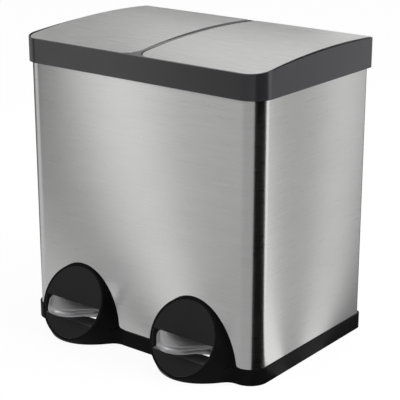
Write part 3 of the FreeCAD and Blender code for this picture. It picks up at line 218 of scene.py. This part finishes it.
def plasticMaterial(name, look):
    material, tree, shader = newMaterial(name)
    where = addNode(tree, "ShaderNodeTexCoord")
    skin = addNode(tree, "ShaderNodeGroup", node_tree=mouldedSkin)
    skin.inputs["Grain"].default_value = look["grain"]
    tree.links.new(where.outputs["Object"], skin.inputs["Vector"])
    tintMix(tree, skin.outputs["Tint"], look["dark"], look["light"], shader)
    rough = rangeNode(tree, skin.outputs["Sheen"], 0.3, 0.7, *look["roughness"])
    tree.links.new(rough, shader.inputs["Roughness"])
    bump = addNode(tree, "ShaderNodeBump")
    bump.inputs["Strength"].default_value = look["bump"]
    bump.inputs["Distance"].default_value = 0.0001
    tree.links.new(skin.outputs["Height"], bump.inputs["Height"])
    if look.get("soften"):
        rounded = addNode(tree, "ShaderNodeBevel")
        rounded.inputs["Radius"].default_value = look["soften"]
        tree.links.new(rounded.outputs["Normal"], bump.inputs["Normal"])
    tree.links.new(bump.outputs["Normal"], shader.inputs["Normal"])
    shader.inputs["IOR"].default_value = look["bend"]
    return material


finishes = {
    "shellSteel": ("steel", {
        "stretch": (30, 30, 1100), "streaks": 0.75, "dark": (0.57, 0.57, 0.565), "light": (0.82, 0.82, 0.815),
        "roughness": (0.25, 0.33), "scratch": 0.0000002, "pull": 0.85,
        "bulge": ((0.0, 0.22), (0.027, 0.33)),  # middle of the wall, swell
        "fold": (-0.170, 3.5)}),
    "lidSteel": ("steel", {
        "stretch": (60, 800, 60), "streaks": 1.8, "dark": (0.50, 0.50, 0.495), "light": (0.80, 0.80, 0.795),
        "roughness": (0.32, 0.42), "scratch": 0.000006, "pull": 0.0}),
    "pedalSteel": ("steel", {
        "stretch": (90, 90, 90), "streaks": 0.5, "dark": (0.36, 0.36, 0.37), "light": (0.50, 0.50, 0.51),
        "roughness": (0.36, 0.44), "scratch": 0.000004, "pull": 0.0}),
    "zincSteel": ("steel", {
        "stretch": (160, 160, 160), "streaks": 1.2, "dark": (0.36, 0.37, 0.38), "light": (0.58, 0.58, 0.57),
        "roughness": (0.28, 0.42), "scratch": 0.000010, "pull": 0.0}),
    "bandPlastic": ("plastic", {
        "grain": 1400, "dark": (0.010, 0.010, 0.0115), "light": (0.014, 0.014, 0.0165),
        "roughness": (0.18, 0.26), "bump": 0.08, "bend": 1.60}),
    "basePlastic": ("plastic", {
        "grain": 1400, "dark": (0.0022, 0.0022, 0.0024), "light": (0.0032, 0.0032, 0.0035),
        "roughness": (0.34, 0.44), "bump": 0.10, "soften": 0.001, "bend": 1.14}),
    "facePlastic": ("plastic", {
        "grain": 1700, "dark": (0.0075, 0.0075, 0.0082), "light": (0.0100, 0.0100, 0.0110),
        "roughness": (0.36, 0.46), "bump": 0.12, "bend": 1.24}),
    # painted shade: near-black standing in for the shade in the gap round the lids and on the ledge below
    # them
    "gapPaintedShade": ("plastic", {
        "grain": 1400, "dark": (0.0010, 0.0010, 0.0011), "light": (0.0016, 0.0016, 0.0017),
        "roughness": (0.45, 0.55), "bump": 0.10, "bend": 1.10}),
    # painted highlight: a light grey on the rim's rounded outer edge, standing in for the light that edge
    # catches
    "rimPaintedHighlight": ("plastic", {
        "grain": 1400, "dark": (0.16, 0.16, 0.165), "light": (0.20, 0.20, 0.205),
        "roughness": (0.25, 0.35), "bump": 0.10, "bend": 1.50}),
    # painted light: a lighter grey on the bar in the pedal's slot, which lies in the pedal's shade
    "slotBarPaintedLight": ("plastic", {
        "grain": 1700, "dark": (0.050, 0.050, 0.052), "light": (0.075, 0.075, 0.078),
        "roughness": (0.30, 0.40), "bump": 0.12, "bend": 1.46}),
    "innerPlastic": ("plastic", {
        "grain": 900, "dark": (0.012, 0.012, 0.013), "light": (0.020, 0.020, 0.021),
        "roughness": (0.45, 0.58), "bump": 0.20, "soften": 0.0008, "bend": 1.46}),
    "bucketPlastic": ("plastic", {
        "grain": 700, "dark": (0.022, 0.022, 0.024), "light": (0.034, 0.034, 0.036),
        "roughness": (0.50, 0.62), "bump": 0.25, "bend": 1.46}),
    "gripPlastic": ("plastic", {
        "grain": 1200, "dark": (0.030, 0.030, 0.032), "light": (0.046, 0.046, 0.048),
        "roughness": (0.40, 0.52), "bump": 0.15, "bend": 1.46}),
    "footRubber": ("plastic", {
        "grain": 800, "dark": (0.012, 0.012, 0.012), "light": (0.020, 0.020, 0.020),
        "roughness": (0.68, 0.80), "bump": 0.30, "bend": 1.40}),
}
materials = {}
for name, (kind, look) in finishes.items():
    materials[name] = steelMaterial(name, look) if kind == "steel" else plasticMaterial(name, look)
print("materials made:", len(materials))


# pieces made from the CAD nodes, with joined faces and rounded edges

def finishMesh(piece, edge=0.0, steps=2, turn=35):
    pickOnly(piece)
    if edge:
        bevel = piece.modifiers.new("edge", "BEVEL")
        bevel.width = edge
        bevel.segments = steps
        bevel.limit_method = "ANGLE"
        bevel.angle_limit = math.radians(turn)
        bevel.miter_outer = "MITER_ARC"
        bpy.ops.object.modifier_apply(modifier="edge")
    bpy.ops.object.shade_smooth_by_angle(angle=math.radians(turn))
    weigh = piece.modifiers.new("weigh", "WEIGHTED_NORMAL")
    weigh.keep_sharp = True
    bpy.ops.object.modifier_apply(modifier="weigh")


def dress(piece, body, material, slot, *nodes):
    piece.data.materials.clear()
    piece.data.materials.append(materials[material])
    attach(piece, body)
    if nodes:
        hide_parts(*nodes)


def joinedCopy(nodeName, pieceName, flat=0.4):
    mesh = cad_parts[nodeName].data.copy()
    piece = bpy.data.objects.new(pieceName, mesh)
    context.scene.collection.objects.link(piece)
    pickOnly(piece)
    bpy.ops.object.mode_set(mode="EDIT")
    bpy.ops.mesh.select_all(action="SELECT")
    bpy.ops.mesh.remove_doubles(threshold=1e-5)
    bpy.ops.mesh.dissolve_limited(angle_limit=math.radians(flat))
    bpy.ops.object.mode_set(mode="OBJECT")
    return piece


# node, edge radius, steps round the edge, material, slot
shared = [
    ("outer_shell", 0.0002, 2, "shellSteel", "brushed_steel"),
    ("lid_frame", 0.0013, 3, "bandPlastic", "frame_plastic"),
    ("hinge_rod", 0.0003, 2, "zincSteel", "zinc_steel"),
    ("rubber_feet", 0.0006, 2, "footRubber", "rubber"),
    ("base_screws", 0.0004, 2, "zincSteel", "zinc_steel"),
    ("frame_screws", 0.0004, 2, "zincSteel", "zinc_steel"),
    ("guide_screws", 0.0004, 2, "zincSteel", "zinc_steel"),
]
# part, edge radius, material, slot, body that it rides on
eachSide = [
    ("lid_skin", 0.0002, "lidSteel", "brushed_steel", "lid"),
    ("lid_liner", 0.0006, "innerPlastic", "black_plastic", "lid"),
    ("lift_arm", 0.0004, "zincSteel", "zinc_steel", "lid"),
    ("arm_screws", 0.0004, "zincSteel", "zinc_steel", "lid"),
    ("pod_face", 0.0007, "facePlastic", "face_plastic", None),
    ("pedal_plate", 0.0004, "pedalSteel", "pedal_steel", "pedal"),
    ("pedal_lever", 0.0005, "zincSteel", "zinc_steel", "pedal"),
    ("pedal_rivets", 0.0004, "zincSteel", "zinc_steel", "pedal"),
    ("pedal_bracket", 0.0004, "zincSteel", "zinc_steel", None),
    ("bracket_screws", 0.0004, "zincSteel", "zinc_steel", None),
    ("pedal_pin", 0.0004, "zincSteel", "zinc_steel", None),
    ("push_rod", 0.0003, "zincSteel", "zinc_steel", "rod"),
    ("rod_guide", 0.0006, "innerPlastic", "black_plastic", None),
    ("bucket", 0.0006, "bucketPlastic", "bucket_plastic", "bucket_body"),
    ("bail", 0.0, "zincSteel", "zinc_steel", "bail_body"),
    ("bail_grip", 0.0003, "gripPlastic", "grip_plastic", "bail_body"),
]
for nodeName, edge, steps, material, slot in shared:
    piece = joinedCopy(nodeName, f"{nodeName}_look")
    finishMesh(piece, edge, steps)
    dress(piece, "bin", material, slot, nodeName)
for side, sign in sides:
    for part, edge, material, slot, body in eachSide:
        nodeName = f"{side}_{part}"
        piece = joinedCopy(nodeName, f"{nodeName}_look")
        finishMesh(piece, edge)
        dress(piece, f"{side}_{body}" if body else "bin", material, slot, nodeName)


def paintFaces(name, material, chosen):
    # gives the faces that the test picks a material of their own
    mesh = bpy.data.objects[name].data
    mesh.materials.append(materials[material])
    for face in mesh.polygons:
        if chosen(face):
            face.material_index = len(mesh.materials) - 1


rim = {
    "low": 0.385,  # everything of the frame above this height is rim
    "barHalf": 0.02,  # the bar between the lids keeps the band's colour
    "outside": 0.2,  # half width outside which a face is on the sides' rim
    "middle": 0.03,  # Y of the bin's middle
    "slot": (0.0280, 0.0318),  # heights of the bar in the pedal's slot
}


# the faces that get the painted gap shade
def rimTop(face):
    clear = abs(face.center.x) > rim["barHalf"] or face.center.y < frontWall
    return face.normal.z > 0.1 and face.center.z > rim["low"] and clear


# the faces that get the painted highlight
def rimEdge(face):
    outward = face.normal.x * face.center.x + face.normal.y * (face.center.y - rim["middle"]) > 0
    onRim = abs(face.center.x) > rim["outside"] or face.center.y < frontWall
    return 0.5 < face.normal.z < 0.9 and face.center.z > rim["low"] and outward and onRim


# the faces that get the painted light
def slotBar(face):
    low, high = rim["slot"]
    return low < face.center.z < high and face.normal.z > 0.5


# painted shade: near-black on the ledge and the rim's top at the sides and rear, for the shade in the gap
# round the lids; the front's long top face isn't reached
# painted highlight: the light grey on the rim's edge hardly shows, because short edges in the frame's mesh
# hold its bevel back
paintFaces("lid_frame_look", "gapPaintedShade", rimTop)
paintFaces("lid_frame_look", "rimPaintedHighlight", rimEdge)
# painted light on the bar in each pedal's slot
for side, sign in sides:
    paintFaces(f"{side}_pod_face_look", "slotBarPaintedLight", slotBar)
for nodeName, material in (("base", "basePlastic"), ("lid_bumpers", "footRubber")):
    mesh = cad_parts[nodeName].data
    mesh.materials.clear()
    mesh.materials.append(materials[material])
# out of the gloss, so that the steel next to the pods stays clear
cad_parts["base"].visible_glossy = False
for side, sign in sides:
    for part in ("pod_face", "pedal_lever", "pedal_rivets", "pedal_bracket", "bracket_screws", "pedal_pin"):
        bpy.data.objects[f"{side}_{part}_look"].visible_glossy = False
print("pieces dressed")


# webs that round off the pods where they meet the rim and the steel

web = {
    "radius": 0.020,  # plan radius along the rim
    "cornerRadius": {"inner": 0.008, "outer": 0.005},  # on the steel, above the rim
    "spread": {"inner": 0.0, "outer": 0.0055},  # extra width on the steel just above the rim
    "top": 0.098,  # where the spread has faded out
    "rimOut": 0.0029,
    "low": 0.001,
    "rimTop": 0.0235,
    "steps": 8,
    # the pod's flank runs from an ellipse on the wall to a tilted disc
    "arch": (0.066, 0.086, 0.020),  # half width, half height, middle
    "disc": (0.0546, 0.024, 0.0545, 24.9),  # radius, out of the wall, middle, tilt in degrees
    "podOffset": 0.100,
}


def flankPoint(height, share):
    wide, tall, archMiddle = web["arch"]
    radius, out, discMiddle, tilt = web["disc"]
    lean = math.radians(tilt)
    middle = (1 - share) * archMiddle + share * discMiddle
    reach = (1 - share) * tall + share * radius * math.cos(lean)
    turn = math.acos(max(-1.0, min(1.0, (height - middle) / reach)))
    across = math.sin(turn) * ((1 - share) * wide + share * radius)
    forward = share * (out - radius * math.cos(turn) * math.sin(lean))
    return Vector((across, -forward))


def flankAt(height, forward):
    low, high = 0.0, 1.0
    for _ in range(40):
        share = (low + high) / 2
        if -flankPoint(height, share).y < forward:
            low = share
        else:
            high = share
    return low


def webRow(height, place):
    # one level of the web, seen from above: along the rim, round the hollow, back inside the pod
    above = max(0.0, height - web["rimTop"])
    corner = web["cornerRadius"][place]
    spread = web["spread"][place] * (1 - min(1.0, above / (web["top"] - web["rimTop"]))) ** 1.3
    fade = min(1.0, above / corner)
    plane = web["rimOut"] * (1 - fade) + 0.0004 * fade
    radius = web["radius"] * (1 - fade) + 0.001 * fade
    share = flankAt(height, plane)
    foot = flankPoint(height, share)
    along = (flankPoint(height, share + 0.08) - foot).normalized()
    bend = math.pi / 2 - math.atan2(-along.x, -along.y)  # turn between rim and flank
    tangent = radius * math.tan(bend / 2)
    if above:
        left = max(0.0, corner - above)
        reach = corner - math.sqrt(max(0.0, corner ** 2 - left ** 2))
        tangent = max(reach + spread, 0.0003)
        radius = tangent / math.tan(bend / 2)
    start = foot + Vector((tangent, 0))
    centre = start + Vector((0, -radius))
    row = [Vector((start.x, -0.00005)), start]
    for step in range(1, web["steps"] + 1):
        angle = bend * step / web["steps"]
        row.append(centre + Vector((-math.sin(angle), math.cos(angle))) * radius)
    inside = row[-1] + Vector((-0.0030, 0.0))
    row.append(inside)
    row.append(Vector((inside.x, -0.00005)))
    return [Vector((point.x, point.y, height)) for point in row]


def addWeb(name, middle, sign, place):
    corner = web["cornerRadius"][place]
    levels = [web["low"] + (web["rimTop"] - web["low"]) * step / 5 for step in range(6)]
    levels += [web["rimTop"] + corner * step / 6 for step in range(1, 7)]
    if web["spread"][place]:
        start = web["rimTop"] + corner
        levels += [start + (web["top"] - start) * step / 12 for step in range(1, 13)]
    rows = [webRow(level, place) for level in levels]
    count = len(rows[0])
    points = [(middle + sign * point.x, frontWall + point.y, point.z) for row in rows for point in row]
    faces = [tuple(range(count)), tuple(range((len(rows) - 1) * count, len(rows) * count))]
    for level in range(len(rows) - 1):
        for step in range(count):
            one, two = level * count + step, level * count + (step + 1) % count
            faces.append((one, two, two + count, one + count))
    mesh = bpy.data.meshes.new(name)
    mesh.from_pydata(points, [], faces)
    piece = bpy.data.objects.new(name, mesh)
    context.scene.collection.objects.link(piece)
    pickOnly(piece)
    bpy.ops.object.mode_set(mode="EDIT")
    bpy.ops.mesh.select_all(action="SELECT")
    bpy.ops.mesh.normals_make_consistent(inside=False)
    bpy.ops.object.mode_set(mode="OBJECT")
    bpy.ops.object.shade_smooth_by_angle(angle=math.radians(35))
    return piece


for side, sign in sides:
    for place, outward in (("outer", sign), ("inner", -sign)):
        piece = addWeb(f"{side}_{place}_web", sign * web["podOffset"], outward, place)
        dress(piece, "bin", "basePlastic", "black_plastic")
        piece.visible_glossy = False
print("pod webs made")


# floor, studio and light

studio = {
    "floorSize": 14.0,
    "floorColour": (0.86, 0.86, 0.86),
    "floorGlow": 0.93,  # share of plain white in what the camera sees
    "fill": 0.75,
    "keyPower": 22.0,
    "topPower": 16.0,
    "sidePower": 75.0,
    "cardMiddle": (0.16, -0.07),
    # direction from, direction to (degrees round from straight ahead, to the right), grey, height in metres
    "cards": [
        (-150, -112, 0.02, 1.0),
        (-112, -98, 0.20, 1.0),
        (-98, -67, 0.62, 2.4),
        (-67, -54.5, 0.14, 2.4),
        (-41.5, 46, 0.43, 2.4),
        (46, 112, 0.0, 2.4),
        (135, 150, 0.44, 2.0),
        (150, 161, 0.86, 2.0),
        (161, 190, 0.16, 0.1),
    ],
    # far walls that the lids reflect: direction from, to, grey, bottom, top
    "walls": [
        (-185, -152, 0.74, 0.35, 2.6),
        (-152, -134, 1.0, 0.35, 2.6),
        (-134, -100, 0.50, 0.35, 2.6),
    ],
    "canopy": (2.0, 2.3, 0.13),  # radius, height, grey
}


def cameraSeen(tree):
    path = addNode(tree, "ShaderNodeLightPath")
    seen = mathNode(tree, "MAXIMUM", path.outputs["Is Camera Ray"], path.outputs["Is Glossy Ray"])
    return mathNode(tree, "MAXIMUM", seen, path.outputs["Is Transmission Ray"])


def addFloor():
    bpy.ops.mesh.primitive_plane_add(size=studio["floorSize"], location=(0, 0, -0.0002))
    floor = context.object
    floor.name = "studioFloor"
    material = bpy.data.materials.new("paperFloor")
    material.use_nodes = True
    tree = material.node_tree
    tree.nodes.clear()
    result = addNode(tree, "ShaderNodeOutputMaterial")
    paper = addNode(tree, "ShaderNodeBsdfDiffuse")
    paper.inputs["Color"].default_value = (*studio["floorColour"], 1)
    glow = addNode(tree, "ShaderNodeEmission")
    glow.inputs["Strength"].default_value = 1.0
    mix = addNode(tree, "ShaderNodeMixShader")
    share = mathNode(tree, "MULTIPLY", cameraSeen(tree), studio["floorGlow"])
    tree.links.new(share, mix.inputs["Fac"])
    tree.links.new(paper.outputs["BSDF"], mix.inputs[1])
    tree.links.new(glow.outputs["Emission"], mix.inputs[2])
    tree.links.new(mix.outputs["Shader"], result.inputs["Surface"])
    floor.data.materials.append(material)


def glossCard(name, points, faces, grey):
    # a card that only the gloss sees
    mesh = bpy.data.meshes.new(name)
    mesh.from_pydata(points, [], faces)
    card = bpy.data.objects.new(name, mesh)
    context.scene.collection.objects.link(card)
    material = bpy.data.materials.new(name)
    material.use_nodes = True
    tree = material.node_tree
    tree.nodes.clear()
    result = addNode(tree, "ShaderNodeOutputMaterial")
    glow = addNode(tree, "ShaderNodeEmission")
    glow.inputs["Color"].default_value = (grey, grey, grey, 1)
    tree.links.new(glow.outputs["Emission"], result.inputs["Surface"])
    mesh.materials.append(material)
    card.visible_camera = False
    card.visible_diffuse = False
    card.visible_shadow = False
    card.visible_transmission = False


def cardStrip(name, start, end, grey, rings, steps=12):
    # rings are (distance, height) pairs; the strip runs over them from start to end
    points, faces = [], []
    for step in range(steps + 1):
        angle = math.radians(start + (end - start) * step / steps)
        for reach, height in rings:
            across, ahead = studio["cardMiddle"]
            points.append((across + math.sin(angle) * reach, ahead - math.cos(angle) * reach, height))
    for step in range(steps):
        for ring in range(len(rings) - 1):
            low = step * len(rings) + ring
            faces.append((low, low + 1, low + 1 + len(rings), low + len(rings)))
    glossCard(name, points, faces, grey)


def addCards():
    near, far, lift = 0.03, 2.6, 0.0006
    for number, (start, end, grey, height) in enumerate(studio["cards"]):
        cardStrip(f"card{number}", start, end, grey, [(near, lift), (far, lift), (far, height)])
    for number, (start, end, grey, bottom, top) in enumerate(studio["walls"]):
        cardStrip(f"wall{number}", start, end, grey, [(far + 0.1, bottom), (far + 0.1, top)])
    radius, height, grey = studio["canopy"]
    cardStrip("canopy", 0, 360, grey, [(0.0, height), (radius, height)], 36)


def addLamp(name, place, target, size, power, gloss=True):
    data = bpy.data.lights.new(name, "AREA")
    data.shape = "RECTANGLE"
    data.size, data.size_y = size
    data.energy = power
    lamp = bpy.data.objects.new(name, data)
    context.scene.collection.objects.link(lamp)
    lamp.location = place
    lamp.rotation_euler = (Vector(target) - Vector(place)).to_track_quat("-Z", "Y").to_euler()
    lamp.visible_glossy = gloss


def addWorld():
    world = bpy.data.worlds.new("studioWorld")
    context.scene.world = world
    world.use_nodes = True
    tree = world.node_tree
    tree.nodes.clear()
    result = addNode(tree, "ShaderNodeOutputWorld")
    back = addNode(tree, "ShaderNodeBackground")
    back.inputs["Color"].default_value = (1, 1, 1, 1)
    strength = rangeNode(tree, cameraSeen(tree), 0, 1, studio["fill"], 1.0)
    tree.links.new(strength, back.inputs["Strength"])
    tree.links.new(back.outputs["Background"], result.inputs["Surface"])


addFloor()
addCards()
addWorld()
addLamp("keyLamp", (-1.6, -2.4, 2.2), (0, 0, 0.25), (1.6, 1.2), studio["keyPower"])
addLamp("sideLamp", (2.4, 0.5, 0.9), (0, 0, 0.25), (1.4, 1.2), studio["sidePower"], False)
addLamp("topLamp", (0.3, 0.6, 2.6), (0, 0, 0.3), (1.8, 1.8), studio["topPower"])
context.scene.view_settings.view_transform = "Standard"


# camera

camera = {
    "place": (1.0994, -1.3643, 0.7696),
    "turn": 38.11,  # degrees to the left of straight ahead
    "tilt": 18.19,  # degrees down
    "focus": 1306.1,  # in pixels of a 400 pixel picture
    "picture": 400,
    "sensor": 36.0,
}
lens = bpy.data.cameras.new("viewCamera")
lens.sensor_width = camera["sensor"]
lens.lens = camera["focus"] / camera["picture"] * camera["sensor"]
lens.clip_start, lens.clip_end = 0.05, 30
eye = bpy.data.objects.new("viewCamera", lens)
context.scene.collection.objects.link(eye)
eye.location = camera["place"]
eye.rotation_euler = (math.radians(90 - camera["tilt"]), 0, math.radians(camera["turn"]))
context.scene.camera = eye
print("studio set")
